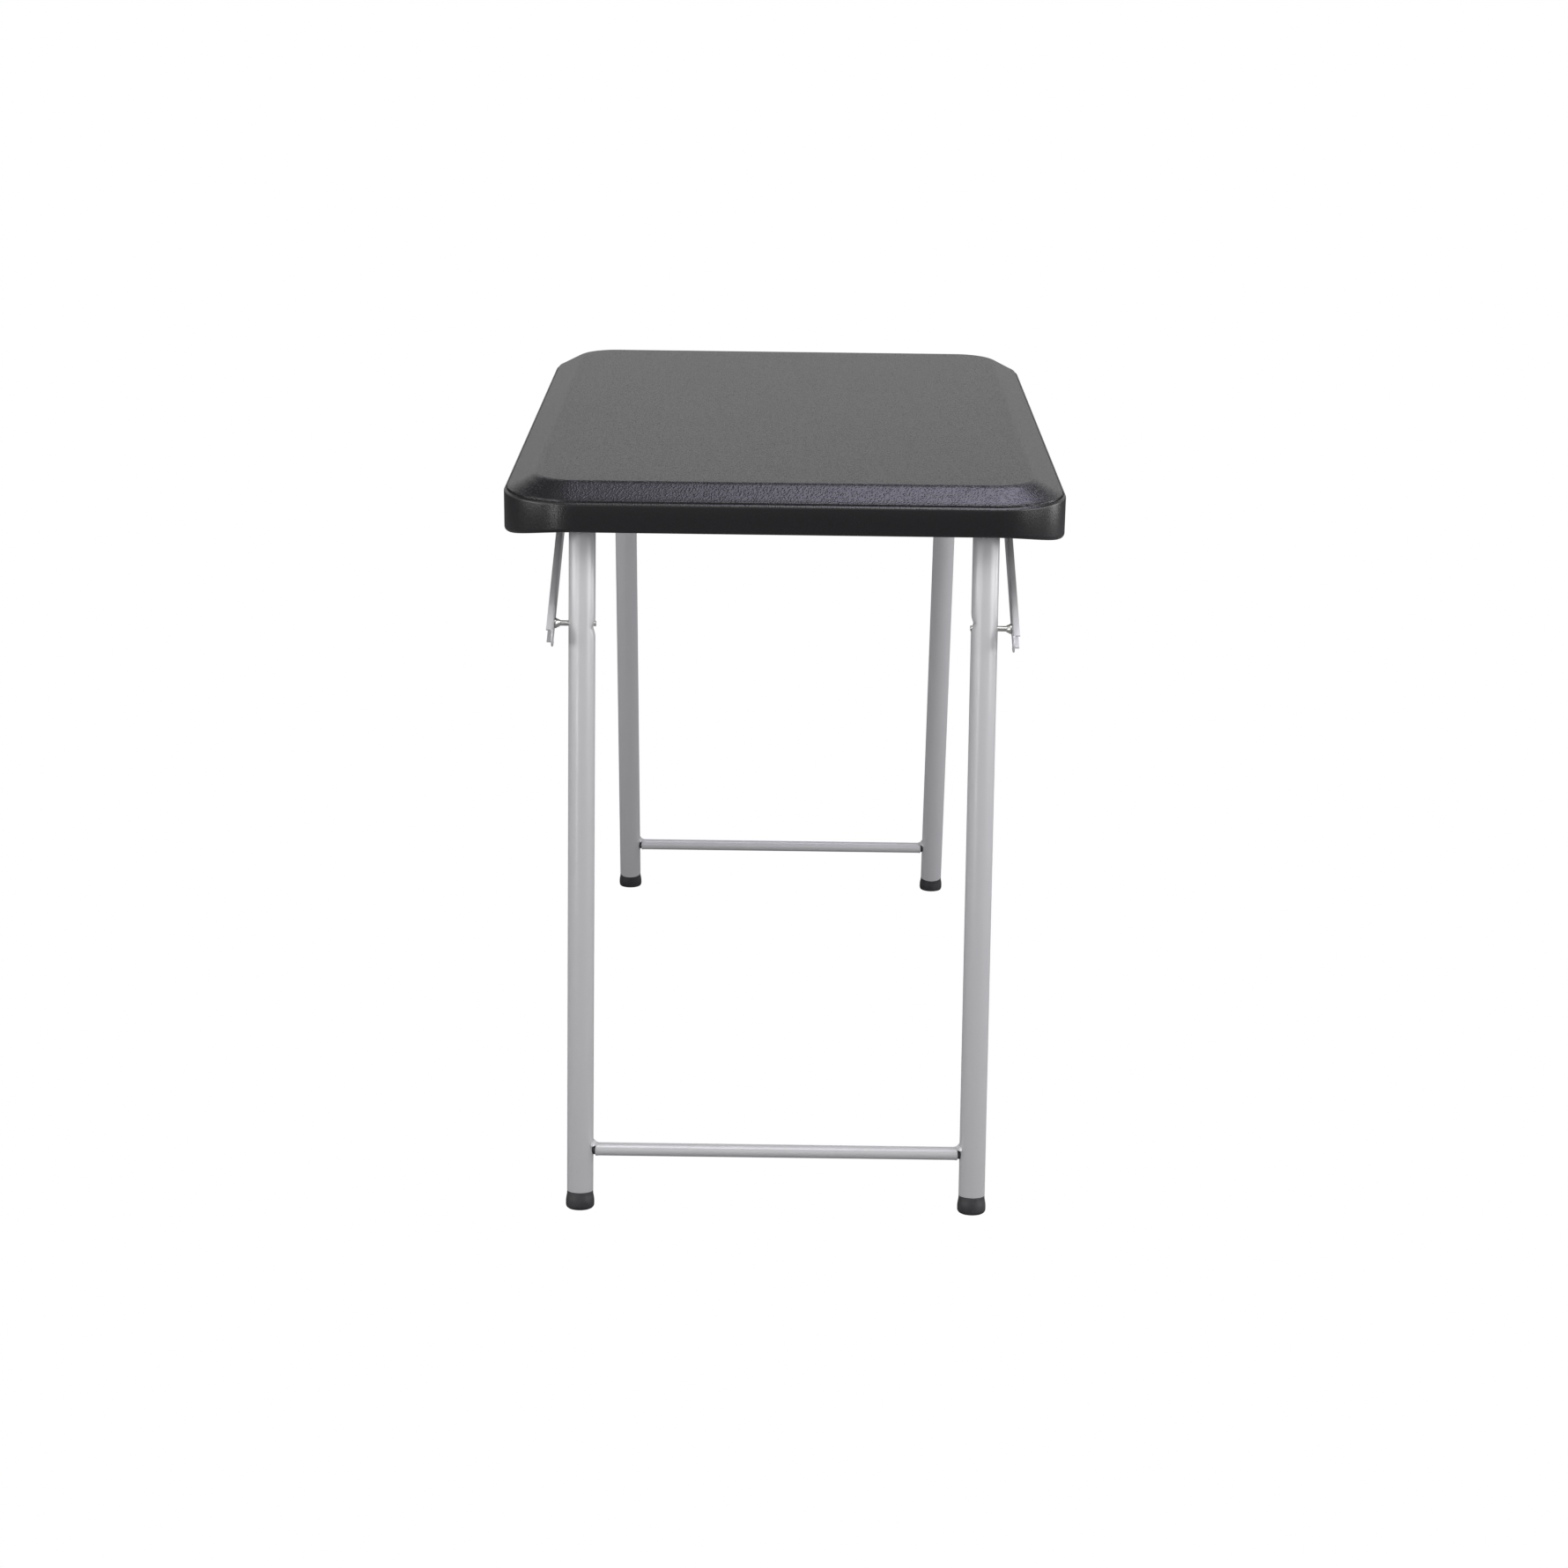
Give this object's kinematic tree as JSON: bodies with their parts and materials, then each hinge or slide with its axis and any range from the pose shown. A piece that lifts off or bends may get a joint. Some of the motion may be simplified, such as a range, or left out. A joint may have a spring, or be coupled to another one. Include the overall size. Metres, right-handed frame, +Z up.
{
  "type": "folding table",
  "caption": "Small folding table: a moulded plastic top with a wide soft bevel on splayed steel tube frames that fold flat under it, held open by side braces that slide in rails.",
  "frame": {"origin": "on the floor under the middle of the open table", "axes": "+Z up, +Y along the long side of the top towards the rear frame, +X across it towards the right"},
  "size_m": [0.525, 0.949, 0.686],
  "materials": {
    "top_plastic": "satin black moulded polyethylene with a fine pebble grain",
    "leg_paint": "silver-grey powder coat, semi-gloss",
    "zinc_steel": "bright zinc plate",
    "foot_rubber": "black moulded rubber, slightly worn",
    "shoe_nylon": "natural nylon"
  },
  "bodies": {
    "top": {"tabletop": "top_plastic", "front_left_bracket_screw_inner": "zinc_steel", "front_left_bracket_screw_outer": "zinc_steel", "front_left_pivot_bracket": "zinc_steel", "front_right_bracket_screw_inner": "zinc_steel", "front_right_bracket_screw_outer": "zinc_steel", "front_right_pivot_bracket": "zinc_steel", "left_rail_screw_front": "zinc_steel", "left_rail_screw_middle": "zinc_steel", "left_rail_screw_rear": "zinc_steel", "left_slide_rail": "zinc_steel", "rear_left_bracket_screw_inner": "zinc_steel", "rear_left_bracket_screw_outer": "zinc_steel", "rear_left_pivot_bracket": "zinc_steel", "rear_right_bracket_screw_inner": "zinc_steel", "rear_right_bracket_screw_outer": "zinc_steel", "rear_right_pivot_bracket": "zinc_steel", "right_rail_screw_front": "zinc_steel", "right_rail_screw_middle": "zinc_steel", "right_rail_screw_rear": "zinc_steel", "right_slide_rail": "zinc_steel"},
    "front_legs": {"front_cross_rail": "leg_paint", "front_hinge_rod": "zinc_steel", "front_left_brace_pin": "zinc_steel", "front_left_foot": "foot_rubber", "front_left_leg_tube": "leg_paint", "front_left_pin_cone": "zinc_steel", "front_left_rod_cap": "foot_rubber", "front_right_brace_pin": "zinc_steel", "front_right_foot": "foot_rubber", "front_right_leg_tube": "leg_paint", "front_right_pin_cone": "zinc_steel", "front_right_rod_cap": "foot_rubber"},
    "rear_legs": {"rear_cross_rail": "leg_paint", "rear_hinge_rod": "zinc_steel", "rear_left_brace_pin": "zinc_steel", "rear_left_foot": "foot_rubber", "rear_left_leg_tube": "leg_paint", "rear_left_pin_cone": "zinc_steel", "rear_left_rod_cap": "foot_rubber", "rear_right_brace_pin": "zinc_steel", "rear_right_foot": "foot_rubber", "rear_right_leg_tube": "leg_paint", "rear_right_pin_cone": "zinc_steel", "rear_right_rod_cap": "foot_rubber"},
    "front_left_link": {"front_left_brace": "leg_paint", "front_left_brace_bush": "zinc_steel"},
    "front_left_shoe": {"front_left_slide_shoe": "shoe_nylon"},
    "front_right_link": {"front_right_brace": "leg_paint", "front_right_brace_bush": "zinc_steel"},
    "front_right_shoe": {"front_right_slide_shoe": "shoe_nylon"},
    "rear_left_link": {"rear_left_brace": "leg_paint", "rear_left_brace_bush": "zinc_steel"},
    "rear_left_shoe": {"rear_left_slide_shoe": "shoe_nylon"},
    "rear_right_link": {"rear_right_brace": "leg_paint", "rear_right_brace_bush": "zinc_steel"},
    "rear_right_shoe": {"rear_right_slide_shoe": "shoe_nylon"}
  },
  "joints": [
    {"name": "front_fold", "type": "hinge", "parent": "top", "child": "front_legs", "pos_m": [0, -0.35552, 0.6495], "axis": [1, 0, 0], "range_deg": [0, 99.25]},
    {"name": "rear_fold", "type": "hinge", "parent": "top", "child": "rear_legs", "pos_m": [0, 0.36024, 0.6205], "axis": [-1, 0, 0], "range_deg": [0, 99.25]},
    {"name": "front_left_brace_pivot", "type": "hinge", "parent": "front_legs", "child": "front_left_link", "pos_m": [0, -0.37135, 0.5523], "axis": [-1, 0, 0], "range_deg": [0, 122.9]},
    {"name": "front_left_shoe_slide", "type": "slide", "parent": "top", "child": "front_left_shoe", "axis": [0, 1, 0], "range_m": [0, 0.1371]},
    {"name": "front_right_brace_pivot", "type": "hinge", "parent": "front_legs", "child": "front_right_link", "pos_m": [0, -0.37135, 0.5523], "axis": [-1, 0, 0], "range_deg": [0, 122.9]},
    {"name": "front_right_shoe_slide", "type": "slide", "parent": "top", "child": "front_right_shoe", "axis": [0, 1, 0], "range_m": [0, 0.1371]},
    {"name": "rear_left_brace_pivot", "type": "hinge", "parent": "rear_legs", "child": "rear_left_link", "pos_m": [0, 0.37135, 0.5523], "axis": [1, 0, 0], "range_deg": [0, 116.07]},
    {"name": "rear_left_shoe_slide", "type": "slide", "parent": "top", "child": "rear_left_shoe", "axis": [0, -1, 0], "range_m": [0, 0.1006]},
    {"name": "rear_right_brace_pivot", "type": "hinge", "parent": "rear_legs", "child": "rear_right_link", "pos_m": [0, 0.37135, 0.5523], "axis": [1, 0, 0], "range_deg": [0, 116.07]},
    {"name": "rear_right_shoe_slide", "type": "slide", "parent": "top", "child": "rear_right_shoe", "axis": [0, -1, 0], "range_m": [0, 0.1006]}
  ],
  "couplings": [
    {"joint": "front_left_brace_pivot", "follows": "front_fold", "ratio": 1.2378},
    {"joint": "front_left_shoe_slide", "follows": "front_fold", "m_per_rad": 0.07909},
    {"joint": "front_right_brace_pivot", "follows": "front_fold", "ratio": 1.2378},
    {"joint": "front_right_shoe_slide", "follows": "front_fold", "m_per_rad": 0.07909},
    {"joint": "rear_left_brace_pivot", "follows": "rear_fold", "ratio": 1.1689},
    {"joint": "rear_left_shoe_slide", "follows": "rear_fold", "m_per_rad": 0.058008},
    {"joint": "rear_right_brace_pivot", "follows": "rear_fold", "ratio": 1.1689},
    {"joint": "rear_right_shoe_slide", "follows": "rear_fold", "m_per_rad": 0.058008}
  ]
}
